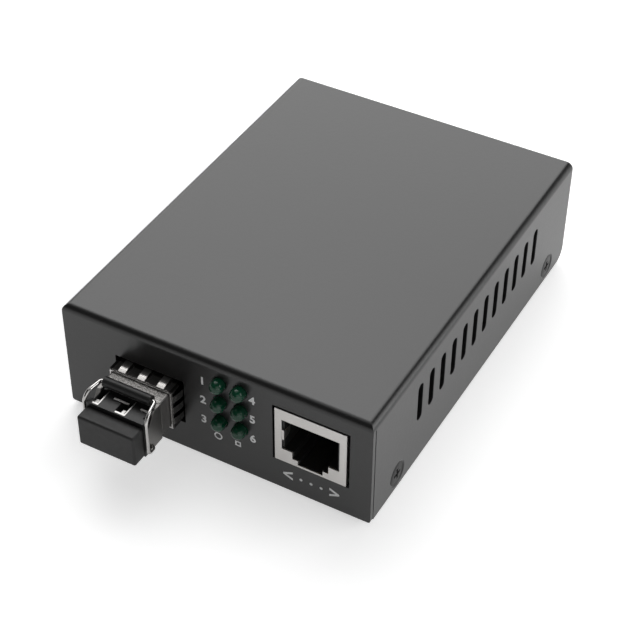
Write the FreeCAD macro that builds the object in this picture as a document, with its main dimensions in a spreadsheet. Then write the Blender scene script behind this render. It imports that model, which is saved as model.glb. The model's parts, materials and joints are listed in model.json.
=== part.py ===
import FreeCAD, Part
import math
import os
import re
import Sketcher

# A small Ethernet to fibre media converter: a folded steel box, a circuit board with its
# connectors, and a pluggable optical module with a wire bail and a dust plug.
# Millimetres. X runs to the right across the front panel, Y runs to the rear, Z is up.
# The origin is on the table, under the middle of the whole product, module and plug included.

doc = FreeCAD.newDocument("media_converter")
sheet = doc.addObject("Spreadsheet::Sheet", "Sizes")

SIZES = {
    # steel box
    "box_width": 70.6,
    "box_depth": 95.0,
    "box_height": 26.3,
    "foot_height": 1.2,
    "foot_radius": 4.0,
    "foot_inset": 9.0,
    "steel": 1.0,
    "bend_radius": 1.6,
    "tray_edge_round": 0.7,
    "fit": 0.1,
    "seam_gap": 0.3,
    "panel_corner": 0.6,
    "rear_corner": 3.0,
    "flange_height": 7.4,
    "flange_setback": 6.0,
    # side vents
    "vent_first": 20.1,
    "vent_pitch": 5.05,
    "vent_count": 12,
    "vent_width": 2.2,
    "vent_length": 9.6,
    "vent_middle": 16.1,
    # countersunk screws through the cover into the tray's flanges
    "screw_front": 11.3,
    "screw_rear": 85.4,
    "screw_level": 3.7,
    "screw_radius": 1.5,
    "screw_head_radius": 3.0,
    "screw_head_height": 0.85,
    "screw_length": 4.6,
    "screw_play": 0.06,
    "recess_width": 0.75,
    "recess_span": 3.2,
    "recess_depth": 0.6,
    # circuit board on four standoffs
    "board_thick": 1.6,
    "board_level": 6.2,
    "board_side_gap": 1.4,
    "board_front": 2.2,
    "board_rear": 1.7,
    "standoff_radius": 2.9,
    "standoff_inset": 7.9,
    "standoff_front": 29.0,
    "standoff_rear": 87.0,
    "board_screw_radius": 1.25,
    "board_screw_length": 5.2,
    "board_screw_head": 2.4,
    "board_screw_head_height": 1.5,
    # copper port
    "jack_inset": 13.3,
    "jack_width": 15.8,
    "jack_height": 13.8,
    "jack_depth": 21.3,
    "jack_proud": 0.2,
    "jack_gap": 0.6,
    "shield": 0.3,
    "mouth_width": 12.7,
    "mouth_low": 3.4,
    "mouth_high": 11.2,
    "step_width": 8.0,
    "step_low": 1.6,
    "key_width": 5.5,
    "key_low": 0.5,
    "socket_width": 11.8,
    "socket_depth": 14.0,
    "socket_rim": 0.4,
    "contact_pitch": 1.02,
    "contact_count": 8,
    "contact_gauge": 0.35,
    "contact_drop": 2.4,
    "contact_reach": 6.0,
    "contact_setback": 1.2,
    # indicator lamps, two columns of three
    "lamp_left": 1.65,
    "lamp_pitch_x": 4.65,
    "lamp_low": 11.65,
    "lamp_pitch_z": 5.05,
    "lamp_radius": 1.55,
    "lamp_proud": 1.0,
    "lamp_play": 0.1,
    "lamp_length": 3.6,
    "lamp_flange": 1.9,
    "lamp_flange_thick": 0.9,
    "holder_width": 4.3,
    "holder_depth": 6.5,
    "holder_head": 2.4,
    "holder_gap": 0.2,
    "lead_gauge": 0.5,
    "lead_spread": 1.27,
    "lead_setback": 1.0,
    # cage of the optical module
    "cage_inset": 20.45,
    "cage_side_play": 0.2,
    "cage_top_play": 0.2,
    "cage_length": 48.7,
    "cage_wall": 0.3,
    "cage_proud": 3.4,
    "cage_gap": 0.85,
    "cage_pin": 0.6,
    "cage_pin_length": 2.2,
    "cage_pin_pitch": 10.0,
    "cage_pin_start": 2.0,
    "cage_pins": 5,
    "tongue_width": 5.4,
    "tongue_length": 11.5,
    "tongue_slit": 0.6,
    "tongue_lip": 2.0,
    "latch_hole": 3.0,
    "latch_setback": 7.0,
    "finger_width": 1.7,
    "finger_pitch": 4.53,
    "finger_side_pitch": 2.9,
    "finger_rise": 0.5,
    "collar_gauge": 0.15,
    "collar_front": 0.25,
    "collar_length": 7.0,
    "finger_setback": 1.2,
    # optical module
    "slide_gap": 0.3,
    "module_width": 13.4,
    "module_height": 8.5,
    "module_rear": 36.0,
    "shell_front": 6.3,
    "shell_gauge": 0.4,
    "tray_height": 5.2,
    "tray_wall": 1.0,
    "nose_front": 12.4,
    "nose_low": 0.8,
    "nose_top_drop": 0.5,
    "nose_tail": 4.0,
    "cheek": 0.9,
    "cheek_front": 10.9,
    "cheek_shoulder": 8.5,
    "cheek_slope_low": 13.4,
    "cheek_root": 0.6,
    "port_pitch": 6.25,
    "port_size": 4.6,
    "port_level": 3.7,
    "window_left": 1.55,
    "window_right": 2.5,
    "window_length": 4.3,
    "window_setback": 0.3,
    "window_depth": 1.5,
    "window_shift": 0.95,
    "clip_gauge": 0.3,
    "clip_bar_y": 9.35,
    "clip_bar_left": 3.5,
    "clip_bar_right": 1.6,
    "clip_bar_start": 0.9,
    "clip_tab": 1.4,
    "clip_tab_setback": 1.0,
    "barrel_gap": 0.075,
    "barrel_length": 9.0,
    "ferrule_radius": 0.9,
    "ferrule_length": 3.4,
    "card_thick": 1.0,
    "card_rear": 41.2,
    "card_level": 2.6,
    "slide_width": 4.0,
    "slide_gauge": 0.5,
    "slide_rear": 3.6,
    "slide_travel": 1.6,
    "slide_start": 2.0,
    "slide_way_start": 1.6,
    # wire bail
    "wire_radius": 0.42,
    "wire_play": 0.08,
    "bail_side_gap": 0.13,
    "bail_pivot_y": 10.1,
    "bail_pivot_z": 0.95,
    "bail_pin": 1.4,
    "bail_leg_y": 12.2,
    "bail_bar_y": 7.4,
    "bail_bar_rise": 1.3,
    "bail_bar_inset": 0.4,
    "bail_shoulder": 1.0,
    "bail_bend": 0.6,
    "bail_foot_bend": 0.9,
    "bail_front_bend": 2.4,
    "sleeve_radius": 1.1,
    "sleeve_inset": 0.8,
    # dust plug
    "plug_inset": 0.05,
    "plug_height": 7.5,
    "plug_depth": 3.35,
    "plug_round": 0.5,
    "plug_gap": 0.15,
    "plug_level": -0.5,
    "prong_size": 4.2,
    "prong_length": 5.6,
    "prong_hollow": 2.4,
    # power inlet at the rear
    "inlet_inset": 17.3,
    "inlet_width": 9.0,
    "inlet_height": 11.0,
    "inlet_depth": 14.4,
    "inlet_gap": 0.25,
    "inlet_bore": 3.15,
    "inlet_bore_depth": 10.0,
    "inlet_axis": 6.6,
    "inlet_pin": 1.0,
    "inlet_recess": 0.8,
    "inlet_spring_width": 1.6,
    "inlet_spring_setback": 1.5,
    # board parts
    "host_wall": 0.5,
    "host_margin": 2.0,
    "host_height": 6.2,
    "host_depth": 7.0,
    "host_slot": 5.2,
    "host_contacts": 10,
    "host_pitch": 0.8,
    "host_gauge": 0.3,
    "chip_size": 12.0,
    "chip_height": 1.4,
    "chip_lead": 1.0,
    "chip_lead_width": 0.4,
    "chip_leads": 8,
    "chip_stand": 0.15,
    "port_chip_y": 48.0,
    "fibre_chip_size": 9.6,
    "fibre_chip_x": -15.0,
    "fibre_chip_y": 62.0,
    "transformer_width": 15.6,
    "transformer_depth": 9.6,
    "transformer_height": 6.0,
    "transformer_shift": 5.0,
    "transformer_gap": 3.0,
    "crystal_width": 11.0,
    "crystal_depth": 4.7,
    "crystal_height": 3.5,
    "crystal_x": 4.0,
    "crystal_y": 46.0,
    "inductor_size": 9.6,
    "inductor_height": 4.0,
    "inductor_x": 3.0,
    "inductor_y": 26.0,
    "regulator_width": 7.2,
    "regulator_depth": 4.8,
    "regulator_height": 1.7,
    "regulator_tab": 2.4,
    "regulator_tab_thick": 0.45,
    "regulator_x": -16.4,
    "regulator_y": 21.0,
    "capacitor_radius": 4.0,
    "capacitor_height": 10.8,
    "capacitor_y": 12.0,
    "capacitor_right": 4.0,
    "capacitor_left": -8.0,
}

for row, (alias, amount) in enumerate(SIZES.items(), start=1):
    sheet.set(f"A{row}", alias.replace("_", " "))
    sheet.set(f"B{row}", str(amount))
    sheet.setAlias(f"B{row}", alias)
doc.recompute()

# Places that many pieces share, as formulas on the cells.
FRONT = "((nose_front + plug_gap + plug_depth - box_depth) / 2)"
REAR = f"({FRONT} + box_depth)"
UNDER = "foot_height"
ROOF = "(foot_height + box_height)"
DECK = "(foot_height + board_level + board_thick)"
TRAY_SIDE = "(box_width / 2 - steel - fit)"
JACK_FACE = f"({FRONT} - jack_proud)"
CAGE_MOUTH = f"({FRONT} - cage_proud)"
MODULE = f"({DECK} + cage_wall + slide_gap)"
NOSE = f"({FRONT} - nose_front)"
BOARD_WIDTH = "(box_width - 4 * steel - 2 * fit - 2 * board_side_gap)"
STANDOFF_X = "(box_width / 2 - standoff_inset)"
JACK_X = "(box_width / 2 - jack_inset)"
INLET_X = "(box_width / 2 - inlet_inset)"
CAGE_X = "(cage_inset - box_width / 2)"
CAGE_WIDTH = "(module_width + 2 * cage_wall + 2 * cage_side_play)"
CAGE_HEIGHT = "(module_height + slide_gap + 2 * cage_wall + cage_top_play)"
CARD_WIDTH = "(module_width - 2 * shell_gauge - 2 * tray_wall - 4 * fit)"
BARREL_RADIUS = f"({CARD_WIDTH} / 2 + fit - port_pitch / 2 - barrel_gap)"
NOSE_WIDTH = "(module_width - 2 * cheek - 2 * fit)"
PLUG_WIDTH = "(module_width - 2 * plug_inset)"
HOST_WIDTH = f"({CARD_WIDTH} + 4 * fit + 2 * host_wall)"
BAIL_HALF = "(module_width / 2 + wire_radius + bail_side_gap)"
BAR_HALF = "(module_width / 2 - bail_bar_inset)"
SLEEVE_HALF = f"({BAR_HALF} - sleeve_inset)"
BAR_Z = f"({MODULE} + module_height + bail_bar_rise)"
PIVOT_Z = f"({MODULE} - nose_low + bail_pivot_z)"
LAMP_FLOOR = "(foot_height + lamp_low)"


def formula(text):
    """FreeCAD expression in which every bare word is a cell of the sheet."""
    return re.sub(r"\b[a-z_]+\b(?!\()", lambda word: "Sizes." + word.group(0), text)


def amount(text):
    """What a formula on the cells comes to now."""
    return float(sheet.evalExpression(formula(text)))


def place(solid, x, y, z):
    for axis, text in zip("xyz", (x, y, z)):
        solid.setExpression(f"Placement.Base.{axis}", formula(text))
    return solid


def block(name, length, width, height, x, y, z):
    """Box with its lowest corner at x, y, z."""
    solid = doc.addObject("Part::Box", name)
    for prop, text in zip(("Length", "Width", "Height"), (length, width, height)):
        solid.setExpression(prop, formula(text))
    return place(solid, x, y, z)


def centred(name, length, width, height, x, y, z):
    """Box centred on x, with its lowest y and z given."""
    return block(name, length, width, height, f"{x} - ({length}) / 2", y, z)


TURNS = {
    "X": FreeCAD.Rotation(FreeCAD.Vector(0, 1, 0), 90),
    "Y": FreeCAD.Rotation(FreeCAD.Vector(1, 0, 0), -90),
    "Z": FreeCAD.Rotation(),
}


def rod(name, radius, length, x, y, z, axis="Z"):
    """Cylinder that starts at x, y, z and runs along the axis."""
    solid = doc.addObject("Part::Cylinder", name)
    solid.setExpression("Radius", formula(radius))
    solid.setExpression("Height", formula(length))
    solid.Placement = FreeCAD.Placement(FreeCAD.Vector(), TURNS[axis])
    return place(solid, x, y, z)


def fuse(name, pieces):
    joined = doc.addObject("Part::MultiFuse", name)
    joined.Shapes = pieces
    joined.Refine = True
    return joined


def cut(name, base, tools):
    """The base less every tool."""
    rest = doc.addObject("Part::Cut", name)
    rest.Base = base
    rest.Tool = tools[0] if len(tools) == 1 else fuse(name + "_tools", tools)
    return rest


def group(name, pieces):
    """Separate solids that are kept as one item."""
    several = doc.addObject("Part::Compound", name)
    several.Links = pieces
    return several


subparts = []


def finish(solid, label):
    solid.Label = label
    subparts.append(solid)
    return solid


def new_body(name):
    return doc.addObject("PartDesign::Body", name)


def origin_item(body, role):
    return next(item for item in body.Origin.OriginFeatures if item.Role == role)


def new_sketch(body, name, role, height):
    """Sketch on one of the body's own planes, lifted along that plane's normal."""
    sketch = body.newObject("Sketcher::SketchObject", name)
    sketch.AttachmentSupport = [(origin_item(body, role), "")]
    sketch.MapMode = "FlatFace"
    sketch.setExpression("AttachmentOffset.Base.z", formula(height))
    return sketch


def pin_point(sketch, geometry, point, x, y):
    """Hold a point of the sketch at x, y from its origin."""
    for kind, text in (("DistanceX", x), ("DistanceY", y)):
        index = sketch.addConstraint(Sketcher.Constraint(kind, geometry, point, amount(text)))
        sketch.setExpression(f"Constraints[{index}]", formula(text))


def outline(sketch, corners):
    """Closed outline of straight lines through the corners."""
    first = sketch.GeometryCount
    count = len(corners)
    spots = [FreeCAD.Vector(amount(x), amount(y), 0) for x, y in corners]
    for turn in range(count):
        sketch.addGeometry(Part.LineSegment(spots[turn], spots[(turn + 1) % count]))
    for turn in range(count):
        following = first + (turn + 1) % count
        sketch.addConstraint(Sketcher.Constraint("Coincident", first + turn, 2, following, 1))
    for turn, (x, y) in enumerate(corners):
        pin_point(sketch, first + turn, 1, x, y)


def rectangle(sketch, low_x, low_y, high_x, high_y):
    outline(sketch, [(low_x, low_y), (high_x, low_y), (high_x, high_y), (low_x, high_y)])


def circle(sketch, x, y, radius):
    centre = FreeCAD.Vector(amount(x), amount(y), 0)
    hole = sketch.addGeometry(Part.Circle(centre, FreeCAD.Vector(0, 0, 1), amount(radius)))
    pin_point(sketch, hole, 3, x, y)
    index = sketch.addConstraint(Sketcher.Constraint("Radius", hole, amount(radius)))
    sketch.setExpression(f"Constraints[{index}]", formula(radius))


def pad(body, sketch, length, backwards=False):
    grown = body.newObject("PartDesign::Pad", sketch.Name + "_pad")
    grown.Profile = sketch
    grown.Reversed = backwards
    grown.setExpression("Length", formula(length))
    return grown


def pocket(body, sketch, length, backwards=False):
    sunk = body.newObject("PartDesign::Pocket", sketch.Name + "_pocket")
    sunk.Profile = sketch
    sunk.Reversed = backwards
    sunk.setExpression("Length", formula(length))
    return sunk


def carve(body, kind, name, sizes, x, y, z, axis="Z"):
    """Subtractive primitive of the body, with its start at x, y, z."""
    tool = body.newObject("PartDesign::Subtractive" + kind, name)
    for prop, text in sizes.items():
        tool.setExpression(prop, formula(text))
    tool.AttachmentSupport = [(origin_item(body, "XY_Plane"), "")]
    tool.MapMode = "FlatFace"
    tool.AttachmentOffset = FreeCAD.Placement(FreeCAD.Vector(), TURNS[axis])
    for letter, text in zip("xyz", (x, y, z)):
        tool.setExpression(f"AttachmentOffset.Base.{letter}", formula(text))
    return tool


def round_edges(body, name, base, radius, wanted):
    """Fillet of every edge of the base that the test picks."""
    doc.recompute()
    names = [f"Edge{index}" for index, edge in enumerate(base.Shape.Edges, start=1) if wanted(edge)]
    rounding = body.newObject("PartDesign::Fillet", name)
    rounding.Base = (base, names)
    rounding.setExpression("Radius", formula(radius))
    doc.recompute()
    return rounding


def near(number, target):
    return abs(number - target) < 0.01


def runs_along(edge, axis):
    """True for a straight edge that runs along the X, Y or Z axis."""
    start = edge.Vertexes[0].Point
    span = edge.Vertexes[-1].Point - start
    return span.Length > 0.01 and abs(abs(getattr(span, axis)) - span.Length) < 1e-6


# ---------------------------------------------------------------- folded steel cover

def make_top_cover():
    """Top, front panel and both sides, folded from one sheet. Open below and behind."""
    body = new_body("CoverBody")
    plan = new_sketch(body, "cover_plan", "XY_Plane", UNDER)
    rectangle(plan, "0 - box_width / 2", FRONT, "box_width / 2", REAR)
    blank = pad(body, plan, "box_height")
    top = amount(ROOF)
    front = amount(FRONT)
    side = amount("box_width / 2")

    def is_bend(edge):
        centre = edge.CenterOfMass
        along_front = runs_along(edge, "x") and near(centre.y, front)
        along_side = runs_along(edge, "y") and near(abs(centre.x), side)
        return near(centre.z, top) and (along_front or along_side)

    round_edges(body, "cover_bends", blank, "bend_radius", is_bend)
    carve(body, "Box", "cover_hollow",
          {"Length": "box_width - 2 * steel", "Width": "box_depth", "Height": "box_height"},
          "steel - box_width / 2", f"{FRONT} + steel", f"{UNDER} - steel")
    doc.recompute()
    rear = amount(REAR)
    gauge = amount("steel")

    def is_inner_bend(edge):
        centre = edge.CenterOfMass
        along_front = runs_along(edge, "x") and near(centre.y, front + gauge)
        along_side = runs_along(edge, "y") and near(abs(centre.x), side - gauge)
        return near(centre.z, top - gauge) and (along_front or along_side)

    round_edges(body, "cover_inner_bends", body.Tip, "bend_radius - steel", is_inner_bend)

    # open corner seams between the front panel and the sides
    for side_name, start in (("left", "0 - box_width / 2 - steel"), ("right", "box_width / 2 - 1.5 * steel")):
        carve(body, "Box", f"seam_{side_name}",
              {"Length": "2.5 * steel", "Width": "seam_gap", "Height": "box_height - bend_radius + steel"},
              start, f"{FRONT} + steel", f"{UNDER} - steel")

    # twelve upright slots in each side
    slot_sketch = new_sketch(body, "vent_slot", "YZ_Plane", "0 - box_width / 2 - steel")
    vent_slot(slot_sketch)
    slot = pocket(body, slot_sketch, "box_width + 2 * steel", backwards=True)
    row = body.newObject("PartDesign::LinearPattern", "vent_row")
    row.Originals = [slot]
    row.Direction = (slot_sketch, ["H_Axis"])
    row.setExpression("Length", formula("vent_pitch * (vent_count - 1)"))
    row.setExpression("Occurrences", formula("vent_count"))
    body.Tip = row

    # panel cut-outs for the cage, the copper port and the lamps
    holes = new_sketch(body, "panel_holes", "XZ_Plane", f"0 - {FRONT}")
    rectangle(holes,
              f"{CAGE_X} - {CAGE_WIDTH} / 2 - cage_gap", f"{DECK} - cage_gap",
              f"{CAGE_X} + {CAGE_WIDTH} / 2 + cage_gap", f"{DECK} + {CAGE_HEIGHT} + cage_gap")
    rectangle(holes,
              f"{JACK_X} - jack_width / 2 - jack_gap", f"{DECK} - jack_gap / 2",
              f"{JACK_X} + jack_width / 2 + jack_gap", f"{DECK} + jack_height + jack_gap / 2")
    for column in range(2):
        for level in range(3):
            circle(holes, f"lamp_left + {column} * lamp_pitch_x",
                   f"{LAMP_FLOOR} + {level} * lamp_pitch_z", "lamp_radius + lamp_play")
    pocket(body, holes, "1.5 * steel")

    # countersunk holes for the four side screws
    for side_name, face, inward in (("left", "0 - box_width / 2", 1), ("right", "box_width / 2", -1)):
        for place_name in ("front", "rear"):
            y = f"{FRONT} + screw_{place_name}"
            z = f"{UNDER} + screw_level"
            start = face if inward > 0 else f"{face} - 2 * steel"
            carve(body, "Cylinder", f"screw_hole_{side_name}_{place_name}",
                  {"Radius": "screw_radius + screw_play", "Height": "2 * steel"}, start, y, z, axis="X")
            radii = ("screw_head_radius + screw_play", "screw_radius + screw_play")
            if inward < 0:
                radii = radii[::-1]
            start = face if inward > 0 else f"{face} - screw_head_height - screw_play"
            carve(body, "Cone", f"countersink_{side_name}_{place_name}",
                  {"Radius1": radii[0], "Radius2": radii[1], "Height": "screw_head_height + screw_play"},
                  start, y, z, axis="X")
    doc.recompute()

    low = amount(UNDER)

    def is_panel_corner(edge):
        centre = edge.CenterOfMass
        on_panel = centre.y < front + gauge
        return runs_along(edge, "y") and near(centre.z, low) and near(abs(centre.x), side) and on_panel

    def is_rear_corner(edge):
        centre = edge.CenterOfMass
        outside = abs(centre.x) > side - gauge
        return runs_along(edge, "x") and near(centre.z, low) and near(centre.y, rear) and outside

    rounded = round_edges(body, "panel_corners", body.Tip, "panel_corner", is_panel_corner)
    round_edges(body, "side_corners", rounded, "rear_corner", is_rear_corner)
    return body


def vent_slot(sketch):
    """Upright slot with round ends: two half circles and two straight sides."""
    radius = "vent_width / 2"
    middle = f"{FRONT} + vent_first"
    half = "(vent_length - vent_width) / 2"
    high = f"{UNDER} + vent_middle + {half}"
    low = f"{UNDER} + vent_middle - {half}"
    axis = FreeCAD.Vector(0, 0, 1)
    ends = []
    for level, turn, start in ((high, 0.0, f"{middle} + {radius}"), (low, math.pi, f"{middle} - {radius}")):
        ring = Part.Circle(FreeCAD.Vector(amount(middle), amount(level), 0), axis, amount(radius))
        arc = sketch.addGeometry(Part.ArcOfCircle(ring, turn, turn + math.pi))
        pin_point(sketch, arc, 3, middle, level)
        pin_point(sketch, arc, 1, start, level)
        index = sketch.addConstraint(Sketcher.Constraint("DistanceY", arc, 2, amount(level)))
        sketch.setExpression(f"Constraints[{index}]", formula(level))
        ends.append(arc)
    for before, after, start in ((0, 1, f"{middle} - {radius}"), (1, 0, f"{middle} + {radius}")):
        levels = (high, low) if before == 0 else (low, high)
        points = [FreeCAD.Vector(amount(start), amount(level), 0) for level in levels]
        line = sketch.addGeometry(Part.LineSegment(*points))
        sketch.addConstraint(Sketcher.Constraint("Coincident", ends[before], 2, line, 1))
        sketch.addConstraint(Sketcher.Constraint("Coincident", line, 2, ends[after], 1))


finish(make_top_cover(), "top_cover")


# ---------------------------------------------------------------- folded steel tray

def make_base_tray():
    """Floor, full rear panel and two low side flanges, folded from one sheet."""
    body = new_body("TrayBody")
    floor_sketch = new_sketch(body, "tray_floor", "XY_Plane", UNDER)
    rectangle(floor_sketch, f"0 - {TRAY_SIDE}", f"{FRONT} + steel + fit", TRAY_SIDE, REAR)
    pad(body, floor_sketch, "steel")
    panel_sketch = new_sketch(body, "tray_panel", "XZ_Plane", f"0 - {REAR} + steel")
    rectangle(panel_sketch, f"0 - {TRAY_SIDE}", UNDER, TRAY_SIDE, f"{ROOF} - steel - fit")
    pad(body, panel_sketch, "steel", backwards=True)
    flange_sketch = new_sketch(body, "tray_flanges", "XY_Plane", UNDER)
    front = f"{FRONT} + flange_setback"
    rear = f"{REAR} - flange_setback"
    rectangle(flange_sketch, f"0 - {TRAY_SIDE}", front, f"steel - {TRAY_SIDE}", rear)
    rectangle(flange_sketch, f"{TRAY_SIDE} - steel", front, TRAY_SIDE, rear)
    pad(body, flange_sketch, "flange_height")

    inlet = new_sketch(body, "inlet_window", "XZ_Plane", f"0 - {REAR} - steel")
    rectangle(inlet,
              f"{INLET_X} - inlet_width / 2 - inlet_gap", f"{DECK} - inlet_gap",
              f"{INLET_X} + inlet_width / 2 + inlet_gap", f"{DECK} + inlet_height + inlet_gap")
    pocket(body, inlet, "3 * steel", backwards=True)
    tapped = new_sketch(body, "flange_threads", "YZ_Plane", "0 - box_width / 2")
    for place_name in ("front", "rear"):
        circle(tapped, f"{FRONT} + screw_{place_name}", f"{UNDER} + screw_level",
               "screw_radius + screw_play / 2")
    threads = pocket(body, tapped, "box_width", backwards=True)

    low = amount(UNDER)
    side = amount(TRAY_SIDE)
    rear_face = amount(REAR)
    panel_top = amount(f"{ROOF} - steel - fit")

    def is_fold(edge):
        centre = edge.CenterOfMass
        along_side = runs_along(edge, "y") and near(abs(centre.x), side)
        along_rear = runs_along(edge, "x") and near(centre.y, rear_face)
        return near(centre.z, low) and (along_side or along_rear)

    def is_panel_top(edge):
        centre = edge.CenterOfMass
        return runs_along(edge, "y") and near(centre.z, panel_top) and near(abs(centre.x), side)

    folded = round_edges(body, "tray_folds", threads, "tray_edge_round", is_fold)
    round_edges(body, "tray_top_corners", folded, "bend_radius - steel", is_panel_top)
    return body


finish(make_base_tray(), "base_tray")


# ---------------------------------------------------------------- screws, feet, board

def make_screw(name, radius, length, head_radius, head_height, countersunk):
    """Screw along Z with its head's top at the origin: cross-head outside, plain pan head inside."""
    if countersunk:
        head = doc.addObject("Part::Cone", name + "_head")
        head.setExpression("Radius1", formula(radius))
        head.setExpression("Radius2", formula(head_radius))
        head.setExpression("Height", formula(head_height))
        place(head, "0", "0", f"0 - {head_height}")
    else:
        head = rod(name + "_head", head_radius, head_height, "0", "0", f"0 - {head_height}")
    shank = rod(name + "_shank", radius, f"{length} - {head_height}", "0", "0", f"0 - {length}")
    blank = fuse(name + "_blank", [head, shank])
    if not countersunk:
        return blank
    bars = []
    for bar, (wide, deep) in enumerate((("recess_span", "recess_width"), ("recess_width", "recess_span"))):
        bars.append(block(f"{name}_recess{bar}", wide, deep, "recess_depth * 2",
                          f"0 - {wide} / 2", f"0 - {deep} / 2", "0 - recess_depth"))
    return cut(name, blank, bars)


def turned(solid, axis, angle):
    solid.Placement = FreeCAD.Placement(FreeCAD.Vector(), FreeCAD.Rotation(axis, angle))
    return solid


cover_screws = []
for hand, face, angle in (("left", "0 - box_width / 2", -90), ("right", "box_width / 2", 90)):
    for spot in ("front", "rear"):
        screw = make_screw(f"cover_screw_{hand}_{spot}", "screw_radius", "screw_length",
                           "screw_head_radius", "screw_head_height", True)
        turned(screw, FreeCAD.Vector(0, 1, 0), angle)
        cover_screws.append(place(screw, face, f"{FRONT} + screw_{spot}", f"{UNDER} + screw_level"))
finish(group("CoverScrews", cover_screws), "cover_screws")

foot_spots = [("left", "0 -", "front", f"{FRONT} +"), ("right", "", "front", f"{FRONT} +"),
              ("left", "0 -", "rear", f"{REAR} -"), ("right", "", "rear", f"{REAR} -")]
for hand, sign, spot, edge in foot_spots:
    foot = rod(f"Foot_{hand}_{spot}", "foot_radius", "foot_height",
               f"{sign} (box_width / 2 - foot_inset)", f"{edge} foot_inset", "0")
    finish(foot, f"rubber_foot_{spot}_{hand}")

board_corners = [(f"{sign} {STANDOFF_X}", f"{FRONT} + standoff_{spot}", f"{hand}_{spot}")
                 for hand, sign in (("left", "0 -"), ("right", "")) for spot in ("front", "rear")]
posts = []
board_screws = []
for x, y, tag in board_corners:
    post = doc.addObject("Part::Prism", f"post_{tag}")
    post.Polygon = 6
    post.setExpression("Circumradius", formula("standoff_radius"))
    post.setExpression("Height", formula("board_level - steel"))
    place(post, x, y, f"{UNDER} + steel")
    bore = rod(f"post_bore_{tag}", "board_screw_radius + screw_play", "board_level", x, y,
               f"{UNDER} + steel + steel")
    posts.append(cut(f"standoff_{tag}", post, [bore]))
    screw = make_screw(f"board_screw_{tag}", "board_screw_radius", "board_screw_length",
                       "board_screw_head", "board_screw_head_height", False)
    board_screws.append(place(screw, x, y, f"{DECK} + board_screw_head_height"))
finish(group("Standoffs", posts), "board_standoffs")
finish(group("BoardScrews", board_screws), "board_screws")

CAGE_LEFT = f"({CAGE_X} - {CAGE_WIDTH} / 2)"
CAGE_RIGHT = f"({CAGE_X} + {CAGE_WIDTH} / 2)"
PIN_FIRST = f"({FRONT} + board_front + cage_pin_start)"
cage_pins = [(x, f"{PIN_FIRST} + {step} * cage_pin_pitch", f"{hand}{step}")
             for hand, x in (("left", CAGE_LEFT), ("right", f"{CAGE_RIGHT} - cage_wall"))
             for step in range(int(amount("cage_pins")))]


def make_board():
    """Board with holes for its screws, the cage's pins and the lamps' leads."""
    plate = centred("board_plate", BOARD_WIDTH, "box_depth - board_front - board_rear", "board_thick",
                    "0", f"{FRONT} + board_front", f"{UNDER} + board_level")
    holes = [rod(f"board_hole_{tag}", "board_screw_radius + fit", "board_thick * 3", x, y,
                 f"{UNDER} + board_level - board_thick") for x, y, tag in board_corners]
    for x, y, tag in cage_pins:
        holes.append(block(f"pin_hole_{tag}", "cage_wall + fit", "cage_pin + fit", "board_thick * 3",
                           f"{x} - fit / 2", f"{y} - fit / 2", f"{UNDER} + board_level - board_thick"))
    return cut("Board", plate, holes)


finish(make_board(), "main_board")


# ---------------------------------------------------------------- copper port

def stepped_mouth(name, start, depth, wide, high, grow):
    """Opening for an eight-way plug, tab down: the mouth, its step and the key of the tab."""
    main = centred(name + "_main", f"{wide}", depth, f"{high} - mouth_low", JACK_X, start,
                   f"{DECK} + mouth_low")
    step = centred(name + "_step", f"step_width - {grow}", depth, "mouth_low - step_low + fit", JACK_X,
                   start, f"{DECK} + step_low")
    key = centred(name + "_key", f"key_width - {grow}", depth, "step_low - key_low + fit", JACK_X, start,
                  f"{DECK} + key_low")
    return fuse(name, [main, step, key])


def make_jack():
    """Steel shield, moulded insert and eight sprung contacts of the copper port."""
    outer = centred("jack_outer", "jack_width", "jack_depth", "jack_height", JACK_X, JACK_FACE, DECK)
    inner = centred("jack_inner", "jack_width - 2 * shield", "jack_depth - 2 * shield", "jack_height",
                    JACK_X, f"{JACK_FACE} + shield", f"{DECK} - shield")
    mouth = stepped_mouth("jack_mouth", f"{JACK_FACE} - 1", "2 + shield", "mouth_width", "mouth_high", "0")
    finish(cut("JackShield", outer, [inner, mouth]), "port_shield")

    insert_face = f"({JACK_FACE} + shield + fit)"
    solid = centred("insert_solid", "jack_width - 2 * shield - 2 * fit",
                    "jack_depth - 2 * shield - 2 * fit", "jack_height - shield - fit",
                    JACK_X, insert_face, DECK)
    cavity = stepped_mouth("insert_cavity", f"{insert_face} - 1", "socket_depth + 1", "socket_width",
                           "mouth_high - socket_rim", "socket_rim")
    slots = []
    wires = []
    lean = math.degrees(math.atan2(amount("contact_drop"), amount("contact_reach")))
    first = f"{JACK_X} - (contact_count - 1) / 2 * contact_pitch"
    roof = f"({DECK} + mouth_high - socket_rim)"
    for index in range(int(amount("contact_count"))):
        x = f"{first} + {index} * contact_pitch"
        wire = block(f"contact_{index}", "contact_gauge", "sqrt(contact_reach ^ 2 + contact_drop ^ 2)",
                     "contact_gauge", f"{x} - contact_gauge / 2", f"{insert_face} + contact_setback",
                     f"{roof} - contact_gauge - fit")
        wires.append(wire)
        wire.Placement.Rotation = FreeCAD.Rotation(FreeCAD.Vector(1, 0, 0), -lean)
    finish(cut("JackInsert", solid, [cavity]), "port_insert")
    finish(group("JackContacts", wires), "port_contacts")


make_jack()


# ---------------------------------------------------------------- indicator lamps

def make_lamp(name, x, z):
    """Round lamp pointing forwards: flange, barrel and a dome that stands out of the panel."""
    flange = rod(name + "_flange", "lamp_flange", "lamp_flange_thick", x,
                 f"{FRONT} + lamp_length - lamp_flange_thick", z, axis="Y")
    barrel = rod(name + "_barrel", "lamp_radius", "lamp_length + lamp_proud", x, f"{FRONT} - lamp_proud", z,
                 axis="Y")
    dome = doc.addObject("Part::Sphere", name + "_dome")
    dome.setExpression("Radius", formula("lamp_radius"))
    place(dome, x, f"{FRONT} - lamp_proud", z)
    return fuse(name, [flange, barrel, dome])


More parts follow.
